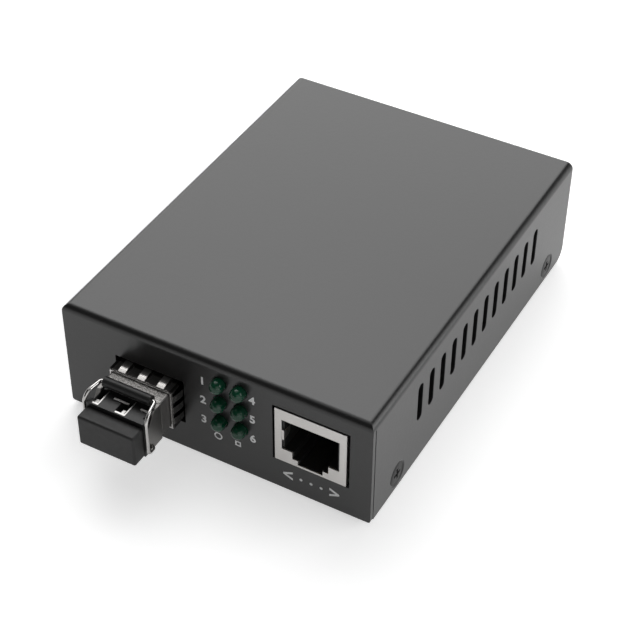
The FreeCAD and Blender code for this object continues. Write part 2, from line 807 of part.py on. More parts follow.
HOLDER_FACE = f"({FRONT} + steel + holder_gap)"
for column, hand in enumerate(("left", "right")):
    lamp_x = f"(lamp_left + {column} * lamp_pitch_x)"
    leads = []
    bores = []
    for level in range(3):
        lamp_z = f"({LAMP_FLOOR} + {level} * lamp_pitch_z)"
        finish(make_lamp(f"Lamp_{hand}_{level}", lamp_x, lamp_z), f"status_lamp_{hand}_{level + 1}")
        bores.append(rod(f"lamp_bore_{hand}_{level}", "lamp_flange + lamp_play",
                         "lamp_length - steel + lamp_play", lamp_x, f"{FRONT} + steel", lamp_z, axis="Y"))
        for sign in (-1, 1):
            x = f"{lamp_x} + {sign} * lead_spread - lead_gauge / 2"
            y = f"{FRONT} + lamp_length"
            drop = f"holder_depth + {level} * 2 * lead_gauge"
            tag = f"{hand}_{level}_{sign}"
            run = block(f"lead_run_{tag}", "lead_gauge", f"{drop} - lead_setback", "lead_gauge", x, y,
                        f"{lamp_z} - lead_gauge / 2")
            down = block(f"lead_down_{tag}", "lead_gauge", "lead_gauge",
                         f"{lamp_z} + lead_gauge / 2 - {DECK}", x,
                         f"{y} + {drop} - lead_setback - lead_gauge", DECK)
            leads.append(fuse(f"lead_{tag}", [run, down]))
            bores.append(block(f"lead_way_{tag}", "lead_gauge + fit", "holder_depth * 2", "lead_gauge + fit",
                               f"{x} - fit / 2", y, f"{lamp_z} - lead_gauge / 2 - fit / 2"))
    holder = centred(f"holder_block_{hand}", "holder_width", "holder_depth",
                     f"2 * lamp_pitch_z + {LAMP_FLOOR} - {DECK} + holder_head", lamp_x, HOLDER_FACE, DECK)
    finish(cut(f"Holder_{hand}", holder, bores), f"lamp_holder_{hand}")
    finish(group(f"Leads_{hand}", leads), f"lamp_leads_{hand}")


# ---------------------------------------------------------------- cage of the optical module

def make_cage():
    """Roof, sides and rear wall of the cage, with pins that pass through the board."""
    outer = block("cage_outer", CAGE_WIDTH, "cage_length", CAGE_HEIGHT, CAGE_LEFT, CAGE_MOUTH, DECK)
    inner = block("cage_inner", f"{CAGE_WIDTH} - 2 * cage_wall", "cage_length", CAGE_HEIGHT,
                  f"{CAGE_LEFT} + cage_wall", f"{CAGE_MOUTH} - cage_wall", f"{DECK} - cage_wall")
    shell = cut("cage_shell", outer, [inner])
    pins = [block(f"cage_pin_{tag}", "cage_wall", "cage_pin", "cage_pin_length + cage_wall", x, y,
                  f"{DECK} - cage_pin_length") for x, y, tag in cage_pins]
    return fuse("Cage", [shell] + pins)


def make_cage_floor():
    """Floor of the cage, with the slit latch tongue, its catch hole and its bent lip."""
    inside = f"({CAGE_WIDTH} - 2 * cage_wall)"
    host_end = "(cage_length - cage_wall - host_depth - host_margin)"
    plate = centred("floor_plate", inside, host_end, "cage_wall", CAGE_X, CAGE_MOUTH, DECK)
    slits = [block(f"tongue_slit_{sign}", "tongue_slit", "tongue_length + 1", "cage_wall * 3",
                   f"{CAGE_X} + {sign} * (tongue_width + tongue_slit) / 2 - tongue_slit / 2",
                   f"{CAGE_MOUTH} - 1", f"{DECK} - cage_wall") for sign in (-1, 1)]
    catch = centred("tongue_catch", "latch_hole + fit * 2", "latch_hole + fit * 2", "cage_wall * 3", CAGE_X,
                    f"{CAGE_MOUTH} + latch_setback - fit", f"{DECK} - cage_wall")
    lip = centred("tongue_lip", "tongue_width", "tongue_lip", "cage_wall", CAGE_X,
                  f"{CAGE_MOUTH} - tongue_lip", DECK)
    return fuse("CageFloor", [cut("floor_cut", plate, slits + [catch]), lip])


def bowed_strip(name, length, rise, gauge, width):
    """Spring finger: a thin strip bowed along Y between its two ends, extruded along X."""
    low = FreeCAD.Vector(0, 0, 0)
    high = FreeCAD.Vector(0, length, 0)
    under = Part.Arc(low, FreeCAD.Vector(0, length / 2, rise), high)
    lift = FreeCAD.Vector(0, 0, gauge)
    over = Part.Arc(low + lift, FreeCAD.Vector(0, length / 2, rise) + lift, high + lift)
    sides = [Part.LineSegment(low, low + lift), Part.LineSegment(high, high + lift)]
    profile = Part.Wire(Part.__sortEdges__([curve.toShape() for curve in [under, over] + sides]))
    solid = doc.addObject("Part::Feature", name)
    solid.Shape = Part.Face(profile).extrude(FreeCAD.Vector(width, 0, 0))
    return solid


def make_collar():
    """Thin collar round the cage's mouth with sprung fingers on all four sides."""
    start = f"({CAGE_MOUTH} + collar_front)"
    outer = centred("collar_outer", f"{CAGE_WIDTH} + 2 * collar_gauge", "collar_length",
                    f"{CAGE_HEIGHT} + 2 * collar_gauge", CAGE_X, start, f"{DECK} - collar_gauge")
    inner = centred("collar_inner", CAGE_WIDTH, "collar_length * 2", CAGE_HEIGHT, CAGE_X,
                    f"{start} - 1", DECK)
    apron = centred("collar_apron", f"{CAGE_WIDTH} * 2", "collar_length * 2", "collar_gauge * 4", CAGE_X,
                    f"{FRONT} + board_front - fit", f"{DECK} - 4 * collar_gauge")
    pieces = [cut("collar_band", outer, [inner, apron])]
    length = amount("collar_length - finger_setback")
    rise = amount("finger_rise")
    gauge = amount("collar_gauge")
    width = amount("finger_width")
    middle = amount(CAGE_X)
    front = amount(start)
    top = amount(f"{DECK} + {CAGE_HEIGHT} + collar_gauge / 2")
    half_height = amount(f"{DECK} + {CAGE_HEIGHT} / 2")
    reach = amount(f"{CAGE_WIDTH} / 2 + collar_gauge / 2")
    for step in (-1, 0, 1):
        finger = bowed_strip(f"finger_top_{step + 1}", length, rise, gauge, width)
        corner = FreeCAD.Vector(middle + step * amount("finger_pitch") - width / 2, front, top)
        finger.Placement = FreeCAD.Placement(corner, FreeCAD.Rotation())
        pieces.append(finger)
        for sign in (-1, 1):
            level = half_height + step * amount("finger_side_pitch")
            spin = FreeCAD.Rotation(FreeCAD.Vector(0, 1, 0), 90 * sign)
            corner = FreeCAD.Vector(middle + sign * reach, front, level + sign * width / 2)
            finger = bowed_strip(f"finger_side_{sign + 1}_{step + 1}", length, rise, gauge, width)
            finger.Placement = FreeCAD.Placement(corner, spin)
            pieces.append(finger)
    return fuse("Collar", pieces)


finish(make_cage(), "module_cage")
finish(make_cage_floor(), "cage_floor")
finish(make_collar(), "cage_spring_collar")

HOST_REAR = f"({CAGE_MOUTH} + cage_length - cage_wall - fit)"


def make_host_connector():
    """Board socket at the cage's rear end, with two rows of contacts and a slot for the card."""
    base = centred("host_block", HOST_WIDTH, "host_depth", "host_height", CAGE_X,
                   f"{HOST_REAR} - host_depth", DECK)
    slot = centred("host_slot_way", f"{CARD_WIDTH} + 4 * fit", "host_slot + 1",
                   "card_thick + 4 * fit + host_gauge * 2", CAGE_X, f"{HOST_REAR} - host_depth - 1",
                   f"{MODULE} + card_level - 2 * fit - host_gauge")
    finish(cut("HostConnector", base, [slot]), "host_connector")
    leads = []
    for row, level in (("low", f"{MODULE} + card_level - host_gauge - fit"),
                       ("high", f"{MODULE} + card_level + card_thick + fit")):
        for index in range(int(amount("host_contacts"))):
            x = f"{CAGE_X} + ({index} - (host_contacts - 1) / 2) * host_pitch - host_gauge / 2"
            leads.append(block(f"host_lead_{row}_{index}", "host_gauge", "host_slot - 1", "host_gauge",
                               x, f"{HOST_REAR} - host_depth + 1", level))
    finish(group("HostContacts", leads), "host_contacts")


make_host_connector()


# ---------------------------------------------------------------- optical module

SHELL_FRONT = f"({FRONT} - shell_front)"
NOSE_LOW = f"({MODULE} - nose_low)"
NOSE_TOP = f"({MODULE} + module_height - nose_top_drop)"
PORT_Z = f"({MODULE} + port_level)"


def make_cheek(hand, inner):
    """Front end of the cast body's side wall: level on top, sloping to the front, round by the pivot."""
    body = new_body(f"Cheek_{hand}")
    side = new_sketch(body, f"cheek_side_{hand}", "YZ_Plane", inner)
    rear = f"{SHELL_FRONT} - fit"
    front = f"{FRONT} - cheek_front"
    corner = f"{NOSE_LOW} + bail_pivot_z"
    roof = f"{MODULE} + module_height"
    outline(side, [(rear, NOSE_LOW), (f"{front} + bail_pivot_z", NOSE_LOW), (front, corner),
                   (front, f"{UNDER} + cheek_slope_low"), (f"{FRONT} - cheek_shoulder", roof), (rear, roof)])
    circle(side, f"{FRONT} - bail_pivot_y", PIVOT_Z, "wire_radius + wire_play")
    pad(body, side, "cheek")
    return body


def make_module_tray():
    """Cast lower half of the module: floor, two walls, the latch post, the slide's channel and cheeks."""
    length = "module_rear + shell_front"
    outer = centred("tray_outer", "module_width - 2 * shell_gauge - 2 * fit", length, "tray_height",
                    CAGE_X, SHELL_FRONT, MODULE)
    inner = centred("tray_inner", "module_width - 2 * shell_gauge - 2 * fit - 2 * tray_wall", length + " * 2",
                    "tray_height", CAGE_X, f"{SHELL_FRONT} - 1", f"{MODULE} + tray_wall")
    channel = centred("tray_channel", "slide_width + 2 * fit", "latch_setback + shell_front + slide_travel",
                      "slide_gauge + fit", CAGE_X, f"{SHELL_FRONT} - 1", f"{MODULE} - fit / 2")
    post = centred("latch_post", "latch_hole - fit * 4", "latch_hole - fit * 4", "slide_gap + cage_wall",
                   CAGE_X, f"{CAGE_MOUTH} + latch_setback + 2 * fit",
                   f"{MODULE} - slide_gap - cage_wall / 2")
    foot = centred("latch_foot", "latch_hole - fit * 4", "latch_hole - fit * 4", "tray_wall", CAGE_X,
                   f"{CAGE_MOUTH} + latch_setback + 2 * fit", MODULE)
    pieces = [cut("tray_shape", outer, [inner, channel]), post, foot]
    root = "(cheek - shell_gauge - fit)"
    for hand, inner_x, root_x in (
            ("left", f"{CAGE_X} - module_width / 2", f"{CAGE_X} - module_width / 2 + shell_gauge + fit"),
            ("right", f"{CAGE_X} + module_width / 2 - cheek", f"{CAGE_X} + module_width / 2 - cheek")):
        pieces.append(make_cheek(hand, inner_x))
        pieces.append(block(f"cheek_root_{hand}", root, "2 * cheek_root", "tray_height", root_x,
                            f"{SHELL_FRONT} - cheek_root", MODULE))
    return fuse("ModuleTray", pieces)


def make_module_shell():
    """Bright sheet sleeve over the module's top and sides, open at both ends and below."""
    length = "module_rear + shell_front"
    outer = centred("shell_outer", "module_width", length, "module_height", CAGE_X, SHELL_FRONT, MODULE)
    inner = centred("shell_inner", "module_width - 2 * shell_gauge", length + " * 2", "module_height",
                    CAGE_X, f"{SHELL_FRONT} - 1", f"{MODULE} - shell_gauge")
    return cut("ModuleShell", outer, [inner])


WINDOWS = (("left", -1, "window_left"), ("right", 1, "window_right"))


def port_x(sign):
    return f"({CAGE_X} + {sign} * port_pitch / 2)"


def make_nose():
    """Black two-port receptacle between the cheeks, with a window and a clip's groove over each port."""
    nose = centred("nose_block", NOSE_WIDTH, "nose_front - shell_front - fit",
                   f"{NOSE_TOP} - {NOSE_LOW}", CAGE_X, NOSE, NOSE_LOW)
    lip = centred("nose_lip_block", "module_width", "nose_front - cheek_front - fit",
                  f"{NOSE_TOP} - {NOSE_LOW}", CAGE_X, NOSE, NOSE_LOW)
    tail = centred("nose_tail_block", f"{CARD_WIDTH}", "nose_tail + fit",
                   "module_height - shell_gauge - tray_wall - 3 * fit",
                   CAGE_X, f"{SHELL_FRONT} - fit", f"{MODULE} + tray_wall + fit")
    tools = []
    for hand, sign, wide in WINDOWS:
        tools.append(centred(f"port_{hand}", "port_size", "nose_front", "port_size", port_x(sign),
                             f"{NOSE} - 1", f"{PORT_Z} - port_size / 2"))
        tools.append(block(f"window_{hand}", wide, "window_length", "window_depth + 1",
                           f"{port_x(sign)} - window_shift - {wide}", f"{NOSE} + window_setback",
                           f"{NOSE_TOP} - window_depth"))
        tools.append(rod(f"pivot_hole_{hand}", "wire_radius + wire_play", "bail_pin + 2 * fit",
                         f"{CAGE_X} + {sign} * (module_width / 2 + fit)"
                         + (" - bail_pin - 2 * fit" if sign > 0 else ""),
                         f"{FRONT} - bail_pivot_y", PIVOT_Z, axis="X"))
    tools.append(centred("nose_slide_way", "slide_width + 2 * fit", "nose_front",
                         "slide_gauge + nose_low + fit", CAGE_X, f"{NOSE} + slide_way_start", f"{MODULE} - nose_low - fit / 2"))
    return cut("Nose", fuse("nose_solid", [nose, lip, tail]), tools)


def make_clips():
    """Bright sprung clips: an edge round each window, a tab in it, and a bar on the roof beside it."""
    pieces = []
    for hand, sign, wide in WINDOWS:
        right = f"{port_x(sign)} - window_shift"
        floor = f"{NOSE_TOP} - window_depth"
        front = f"{NOSE} + window_setback"
        rail = block(f"clip_rail_{hand}", "clip_gauge", "window_length", "window_depth",
                     f"{right} - clip_gauge", front, floor)
        bridge = block(f"clip_bridge_{hand}", f"{wide} - fit", "clip_gauge * 1.5", "window_depth",
                       f"{right} - {wide} + fit", front, floor)
        tab = block(f"clip_tab_{hand}", "clip_tab / 2", "clip_tab_setback + clip_tab / 2", "clip_gauge",
                    f"{right} - clip_tab", front, f"{floor} + window_depth / 2")
        pieces.append(fuse(f"clip_{hand}", [rail, bridge, tab]))
        pieces.append(block(f"clip_bar_{hand}", f"clip_bar_{hand}", "clip_gauge * 1.5", "clip_gauge",
                            f"{port_x(sign)} + clip_bar_start", f"{FRONT} - clip_bar_y", NOSE_TOP))
    return group("Clips", pieces)


def make_optics():
    """Transmit and receive barrels behind the ports, each with its ferrule in the port."""
    start = f"({SHELL_FRONT} + nose_tail + 2 * fit)"
    for hand, sign, label in (("left", -1, "receive_barrel"), ("right", 1, "transmit_barrel")):
        can = rod(f"can_{hand}", BARREL_RADIUS, "barrel_length", port_x(sign), start, PORT_Z, axis="Y")
        ferrule = rod(f"ferrule_{hand}", "ferrule_radius", "ferrule_length + fit", port_x(sign),
                      f"{start} - ferrule_length", PORT_Z, axis="Y")
        finish(fuse(f"Optic_{hand}", [can, ferrule]), label)


def make_card():
    """Card of the module, with its bare edge reaching the board socket."""
    card_start = f"({SHELL_FRONT} + nose_tail + barrel_length + 6 * fit)"
    card = centred("card_plate", CARD_WIDTH, f"card_rear - nose_tail - barrel_length - 6 * fit + shell_front",
                   "card_thick", CAGE_X, card_start, f"{MODULE} + card_level")
    return card


def make_release_slide():
    """Flat slide under the module: its rear end is a wedge that presses the cage's tongue down."""
    start = f"({NOSE} + slide_start)"
    plate = centred("slide_plate", "slide_width",
                    f"{CAGE_MOUTH} + latch_setback - slide_travel - slide_rear / 2 - {start}",
                    "slide_gauge - fit", CAGE_X, start, f"{MODULE} + fit / 2")
    return plate


finish(make_module_tray(), "module_tray")
finish(make_module_shell(), "module_shell")
finish(make_nose(), "module_nose")
finish(make_clips(), "nose_clips")
make_optics()
finish(make_card(), "module_card")
finish(make_release_slide(), "release_slide")


# ---------------------------------------------------------------- wire bail and its sleeve

def rounded_path(points, radii):
    """Wire through the points with its corners rounded to the radii."""
    edges = []
    start = points[0]
    for corner, following, radius in zip(points[1:-1], points[2:], radii):
        back = (start - corner).normalize()
        ahead = (following - corner).normalize()
        half = back.getAngle(ahead) / 2
        reach = radius / math.tan(half)
        entry = corner + back * reach
        leave = corner + ahead * reach
        bisector = (back + ahead).normalize()
        middle = corner + bisector * (radius / math.sin(half) - radius)
        edges.append(Part.LineSegment(start, entry).toShape())
        edges.append(Part.Arc(entry, middle, leave).toShape())
        start = leave
    edges.append(Part.LineSegment(start, points[-1]).toShape())
    return Part.Wire(edges)


def make_bail():
    """One wire: low pivot pins, a foot forward to each leg, and a crossbar over the nose's roof."""
    middle = amount(CAGE_X)
    half = amount(BAIL_HALF)
    bar_half = amount(BAR_HALF)
    pin_end = amount("module_width / 2 - bail_pin")
    pivot_y = amount(f"{FRONT} - bail_pivot_y")
    leg_y = amount(f"{FRONT} - bail_leg_y")
    bar_y = amount(f"{FRONT} - bail_bar_y")
    pivot_z = amount(PIVOT_Z)
    shoulder_z = amount(f"{MODULE} + module_height + bail_shoulder")

    def point(sign, x, y, z):
        return FreeCAD.Vector(middle + sign * x, y, z)

    side = [(pin_end, pivot_y, pivot_z), (half, pivot_y, pivot_z), (half, leg_y, pivot_z),
            (half, leg_y, shoulder_z), (bar_half, bar_y, amount(BAR_Z))]
    points = [point(-1, *spot) for spot in side] + [point(1, *spot) for spot in reversed(side)]
    bends = [amount(f"bail_{bend}") for bend in ("bend", "foot_bend", "front_bend", "bend")]
    path = rounded_path(points, bends + bends[::-1])
    ring = Part.Wire(Part.Circle(points[0], FreeCAD.Vector(1, 0, 0), amount("wire_radius")).toShape())
    wire = doc.addObject("Part::Feature", "Bail")
    wire.Shape = path.makePipeShell([ring], True, False)
    finish(wire, "bail_wire")

    start = f"{CAGE_X} - {SLEEVE_HALF}"
    tube = rod("sleeve_tube", "sleeve_radius", f"2 * {SLEEVE_HALF}", start, f"{FRONT} - bail_bar_y", BAR_Z,
               axis="X")
    bore = rod("sleeve_bore", "wire_radius", f"2 * {SLEEVE_HALF} + 2", f"{start} - 1", f"{FRONT} - bail_bar_y",
               BAR_Z, axis="X")
    finish(cut("Sleeve", tube, [bore]), "bail_sleeve")


make_bail()


# ---------------------------------------------------------------- dust plug

def make_dust_plug():
    """Block over the two ports with a hollow square prong in each."""
    body = new_body("PlugBody")
    level = f"({PORT_Z} + plug_level - plug_height / 2)"
    face = new_sketch(body, "plug_face", "XZ_Plane", f"0 - {NOSE} + plug_gap")
    rectangle(face, f"{CAGE_X} - {PLUG_WIDTH} / 2", level,
              f"{CAGE_X} + {PLUG_WIDTH} / 2", f"{level} + plug_height")
    head = pad(body, face, "plug_depth")
    back = amount(f"{NOSE} - plug_gap")

    def is_outer(edge):
        return not near(edge.CenterOfMass.y, back)

    round_edges(body, "plug_edges", head, "plug_round", is_outer)
    prongs = new_sketch(body, "plug_prongs", "XZ_Plane", f"0 - {NOSE} + plug_gap")
    bores = new_sketch(body, "plug_bores", "XZ_Plane", f"0 - {NOSE} - plug_gap - prong_length")
    for sign in (-1, 1):
        for face_sketch, across in ((prongs, "prong_size"), (bores, "prong_hollow")):
            rectangle(face_sketch, f"{port_x(sign)} - {across} / 2", f"{PORT_Z} - {across} / 2",
                      f"{port_x(sign)} + {across} / 2", f"{PORT_Z} + {across} / 2")
    pad(body, prongs, "prong_length + plug_gap", backwards=True)
    pocket(body, bores, "prong_length", backwards=True)
    return body


finish(make_dust_plug(), "dust_plug")


# ---------------------------------------------------------------- power inlet

def make_inlet():
    """Barrel inlet flush with the rear panel: housing, centre pin and side spring."""
    face = f"({REAR} - fit)"
    axis_z = f"({DECK} + inlet_axis)"
    shell = centred("inlet_block", "inlet_width", "inlet_depth", "inlet_height", INLET_X,
                    f"{face} - inlet_depth", DECK)
    bore = rod("inlet_bore_way", "inlet_bore", "inlet_bore_depth + 1", INLET_X,
               f"{face} - inlet_bore_depth", axis_z, axis="Y")
    groove = centred("inlet_groove", "inlet_pin * 2", "inlet_bore_depth - 2", "inlet_bore + 3 * shield",
                     INLET_X, f"{face} - inlet_bore_depth + 1", f"{axis_z} - inlet_bore - 3 * shield")
    finish(cut("Inlet", shell, [bore, groove]), "power_inlet")
    finish(rod("InletPin", "inlet_pin", "inlet_bore_depth - inlet_recess", INLET_X,
               f"{face} - inlet_bore_depth", axis_z, axis="Y"), "inlet_pin")
    spring = centred("InletSpring", "inlet_spring_width", "inlet_bore_depth - 2 * inlet_spring_setback",
                     "shield", INLET_X, f"{face} - inlet_bore_depth + inlet_spring_setback",
                     f"{axis_z} - inlet_bore - 2 * shield")
    finish(spring, "inlet_spring")


make_inlet()


# ---------------------------------------------------------------- parts on the board

def make_chip(name, x, y, edge):
    """Flat square package with a row of leads on each side."""
    package = block(name + "_body", edge, edge, "chip_height", f"{x} - {edge} / 2", f"{y} - {edge} / 2",
                    f"{DECK} + chip_stand")
    legs = []
    count = int(amount("chip_leads"))
    for index in range(count):
        shift = f"({index} - {count - 1} / 2) * {edge} / {count + 1} - chip_lead_width / 2"
        for sign in (-1, 1):
            start = f"{sign} * ({edge} / 2 + chip_lead / 2 - fit / 2) - chip_lead / 2 - fit / 2"
            legs.append(block(f"{name}_leg_x{index}_{sign}", "chip_lead + fit", "chip_lead_width",
                              "chip_stand * 2", f"{x} + {start}", f"{y} + {shift}", DECK))
            legs.append(block(f"{name}_leg_y{index}_{sign}", "chip_lead_width", "chip_lead + fit",
                              "chip_stand * 2", f"{x} + {shift}", f"{y} + {start}", DECK))
    return fuse(name, [package] + legs)


finish(make_chip("PortChip", JACK_X, f"{FRONT} + port_chip_y", "chip_size"), "port_chip")
finish(make_chip("FibreChip", "fibre_chip_x", f"{FRONT} + fibre_chip_y", "fibre_chip_size"), "fibre_chip")


def make_small_parts():
    """Transformer, crystal, inductor, regulator and capacitors, seated on the board."""
    finish(centred("Transformer", "transformer_width", "transformer_depth", "transformer_height",
                   f"{JACK_X} - transformer_shift", f"{JACK_FACE} + jack_depth + transformer_gap", DECK),
           "line_transformer")
    finish(centred("Crystal", "crystal_width", "crystal_depth", "crystal_height", "crystal_x",
                   f"{FRONT} + crystal_y", DECK), "crystal")
    finish(centred("Inductor", "inductor_size", "inductor_size", "inductor_height", "inductor_x",
                   f"{REAR} - inductor_y", DECK), "power_inductor")
    rear = f"{REAR} - regulator_y"
    slab = centred("regulator_slab", "regulator_width", "regulator_depth", "regulator_height", "regulator_x",
                   rear, DECK)
    tab = centred("regulator_tab_plate", "regulator_width", "regulator_depth + regulator_tab",
                  "regulator_tab_thick", "regulator_x", rear, DECK)
    finish(fuse("Regulator", [tab, slab]), "voltage_regulator")
    for index, hand in enumerate(("right", "left"), start=1):
        finish(rod(f"Capacitor{index}", "capacitor_radius", "capacitor_height", f"capacitor_{hand}",
                   f"{REAR} - capacitor_y", DECK), f"input_capacitor_{index}")


make_small_parts()

doc.recompute()
for item in doc.Objects:
    if "Invalid" in item.State or "Error" in item.State:
        raise RuntimeError(f"{item.Name} failed: {item.State}")
for part in subparts:
    if part.Shape.isNull() or not part.Shape.isValid():
        raise RuntimeError(f"{part.Label} has no sound shape")
os.makedirs("parts", exist_ok=True)
for part in subparts:
    part.Shape.exportStep(f"parts/{part.Label}.step")
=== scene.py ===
import json
import math
import bpy
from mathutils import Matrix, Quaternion, Vector


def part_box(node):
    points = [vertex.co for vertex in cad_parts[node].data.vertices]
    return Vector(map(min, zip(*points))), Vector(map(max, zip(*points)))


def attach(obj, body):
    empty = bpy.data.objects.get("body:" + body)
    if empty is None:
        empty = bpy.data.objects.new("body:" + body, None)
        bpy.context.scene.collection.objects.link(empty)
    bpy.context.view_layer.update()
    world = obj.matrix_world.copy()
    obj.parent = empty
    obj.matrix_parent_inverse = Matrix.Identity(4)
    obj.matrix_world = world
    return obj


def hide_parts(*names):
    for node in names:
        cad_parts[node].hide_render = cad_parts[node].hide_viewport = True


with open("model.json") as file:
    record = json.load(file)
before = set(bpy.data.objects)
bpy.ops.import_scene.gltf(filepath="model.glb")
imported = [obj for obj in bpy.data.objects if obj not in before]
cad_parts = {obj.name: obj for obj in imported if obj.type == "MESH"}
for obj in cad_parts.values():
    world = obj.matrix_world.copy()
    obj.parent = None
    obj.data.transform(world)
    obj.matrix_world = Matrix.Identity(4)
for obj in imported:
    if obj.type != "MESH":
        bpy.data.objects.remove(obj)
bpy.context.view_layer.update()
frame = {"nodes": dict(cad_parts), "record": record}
print("frame loaded:", len(frame["nodes"]), "nodes")

millimetre = 0.001
quarterTurn = math.radians(90)

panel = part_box("top_cover")[0].y  # the front panel's plane

# The camera: its places in millimetres from the panel's middle, and its reach in metres.
cameraSetup = {
    "fromPanel": (130.374, -193.933, 244.636),
    "aimFromPanel": (0.0, 43.187, 5.56),
    "roll": 0.569,
    "lens": 93.258,
    "sensor": 36.0,
    "nearest": 0.01,
    "farthest": 20.0,
}


def onPanel(x, y, z):  # a place in millimetres from the panel's middle, at table height
    return Vector((x * millimetre, panel + y * millimetre, z * millimetre))


def addCamera(setup):
    data = bpy.data.cameras.new("mainCamera")
    data.lens = setup["lens"]
    data.sensor_width = setup["sensor"]
    data.clip_start = setup["nearest"]
    data.clip_end = setup["farthest"]
    camera = bpy.data.objects.new("mainCamera", data)
    camera.location = onPanel(*setup["fromPanel"])
    ahead = onPanel(*setup["aimFromPanel"]) - camera.location
    tilt = Quaternion((0, 0, 1), math.radians(setup["roll"]))
    camera.rotation_mode = "QUATERNION"
    camera.rotation_quaternion = ahead.to_track_quat("-Z", "Y") @ tilt
    bpy.context.collection.objects.link(camera)
    bpy.context.scene.camera = camera


addCamera(cameraSetup)
print("camera placed")


class Signal:  # an output socket, so that shader maths reads as plain maths
    def __init__(self, finish, socket):
        self.finish = finish
        self.socket = socket

    def maths(self, operation, first, second):
        return self.finish.add("ShaderNodeMath", {"operation": operation}, {0: first, 1: second})

    def __add__(self, other):
        return self.maths("ADD", self, other)

    def __radd__(self, other):
        return self.maths("ADD", other, self)

    def __mul__(self, other):
        return self.maths("MULTIPLY", self, other)

    def __rmul__(self, other):
        return self.maths("MULTIPLY", other, self)

    def __gt__(self, other):
        return self.maths("GREATER_THAN", self, other)

    def __lt__(self, other):
        return self.maths("LESS_THAN", self, other)


class Finish:  # one material: its shader, its coordinates and the nodes that feed it
    def __init__(self, name, constants):
        self.material = bpy.data.materials.new(name)
        self.material.use_nodes = True
        self.tree = self.material.node_tree
        self.shader = self.tree.nodes["Principled BSDF"]
        for socket, value in constants.items():
            self.shader.inputs[socket].default_value = value
        self.place = self.add("ShaderNodeTexCoord", {}, {}, "Object")

    def add(self, kind, settings, sockets, output=0):
        node = self.tree.nodes.new(kind)
        for setting, value in settings.items():
            setattr(node, setting, value)
        for socket, value in sockets.items():
            self.plug(node.inputs[socket], value)
        return Signal(self, node.outputs[output])

    def plug(self, socket, value):
        if isinstance(value, Signal):
            self.tree.links.new(value.socket, socket)
        else:
            socket.default_value = value

    def feed(self, socket, value):
        self.plug(self.shader.inputs[socket], value)

    def stretched(self, stretch):
        return self.add("ShaderNodeMapping", {}, {"Vector": self.place, "Scale": stretch})

    def noise(self, scale, detail, stretch=(1, 1, 1)):
        sockets = {"Vector": self.stretched(stretch), "Scale": scale, "Detail": detail}
        return self.add("ShaderNodeTexNoise", {}, sockets)

    def cells(self, scale, stretch=(1, 1, 1)):
        sockets = {"Vector": self.stretched(stretch), "Scale": scale}
        return self.add("ShaderNodeTexVoronoi", {"feature": "F1"}, sockets)

    def ramp(self, value, low, high):
        return self.add("ShaderNodeMapRange", {"interpolation_type": "SMOOTHSTEP"},
                        {"Value": value, "From Min": low, "From Max": high})

    def tint(self, amount, first, second):
        sockets = {0: amount, 6: first, 7: second}
        return self.add("ShaderNodeMix", {"data_type": "RGBA"}, sockets, 2)

    def shades(self, amount, level, dark, light, warmth=0.0):  # between two shares of the level
        return self.tint(amount, grey(level * dark, warmth), grey(level * light, warmth))

    def flanks(self, node, depth):  # 1 on the left and right sides of a solid, and 0 between them
        low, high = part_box(node)
        across = self.add("ShaderNodeSeparateXYZ", {}, {"Vector": self.place})
        return (across < low.x + depth * millimetre) + (across > high.x - depth * millimetre)

    def relief(self, height, depth, edge=0.0):  # depth of the bump and radius of softened edges
        sockets = {"Height": height, "Strength": 1.0, "Distance": depth}
        if edge:
            sockets["Normal"] = self.add("ShaderNodeBevel", {"samples": 4}, {"Radius": edge})
        self.feed("Normal", self.add("ShaderNodeBump", {}, sockets))


def grey(level, warmth=0.0):
    return (level * (1 + warmth), level, level * (1 - warmth), 1.0)


# The black powder coat of the cover and the tray. Here and in the finishes below, relief and edge
# are in metres, and what names a mark in the surface is the scale of its noise.
paint = {
    "dark": 0.007,
    "light": 0.011,
    "roughness": 0.32,
    "spread": 0.08,
    "gloss": 0.44,
    "coat": 0.3,
    "coatRoughness": 0.28,
    "clouds": 60,
    "pebble": 900,
    "grain": 2600,
    "relief": 0.00002,
    "edge": 0.00025,
}


def powderCoat(name, shade):
    coat = Finish(name, {"IOR": 1.5, "Specular IOR Level": paint["gloss"],
                         "Coat Weight": paint["coat"], "Coat Roughness": paint["coatRoughness"]})
    clouds = coat.noise(paint["clouds"], 3)
    pebble = coat.noise(paint["pebble"], 2)
    grain = coat.noise(paint["grain"], 3)
    level = clouds * 0.6 + grain * 0.4
    coat.feed("Base Color", coat.shades(level, shade, paint["dark"], paint["light"]))
    coat.feed("Roughness", paint["roughness"] - paint["spread"] / 2 + grain * paint["spread"])
    coat.relief(pebble * 0.6 + grain * 0.4, paint["relief"], paint["edge"])
    return coat.material


plastic = {"clouds": 120, "pits": 1800, "spread": 0.1, "relief": 0.00002, "edge": 0.00012}


def blackPlastic(name, level, roughness, gloss=0.4):
    moulded = Finish(name, {"IOR": 1.46, "Specular IOR Level": gloss})
    clouds = moulded.noise(plastic["clouds"], 2)
    pits = moulded.noise(plastic["pits"], 3)
    moulded.feed("Base Color", moulded.shades(clouds, level, 0.85, 1.2))
    moulded.feed("Roughness", roughness - plastic["spread"] / 2 + pits * plastic["spread"])
    moulded.relief(pits, plastic["relief"], plastic["edge"])
    return moulded.material


softRubber = {"clouds": 150, "bloom": 900, "gloss": 0.38, "roughness": 0.42, "spread": 0.15,
              "relief": 0.00002, "edge": 0.0002}


def rubber(name, level):
    soft = Finish(name, {"IOR": 1.5, "Specular IOR Level": softRubber["gloss"]})
    clouds = soft.noise(softRubber["clouds"], 3)
    bloom = soft.noise(softRubber["bloom"], 4)
    soft.feed("Base Color", soft.shades(clouds, level, 0.85, 1.2))
    soft.feed("Roughness", softRubber["roughness"] + bloom * softRubber["spread"])
    soft.relief(bloom, softRubber["relief"], softRubber["edge"])
    return soft.material


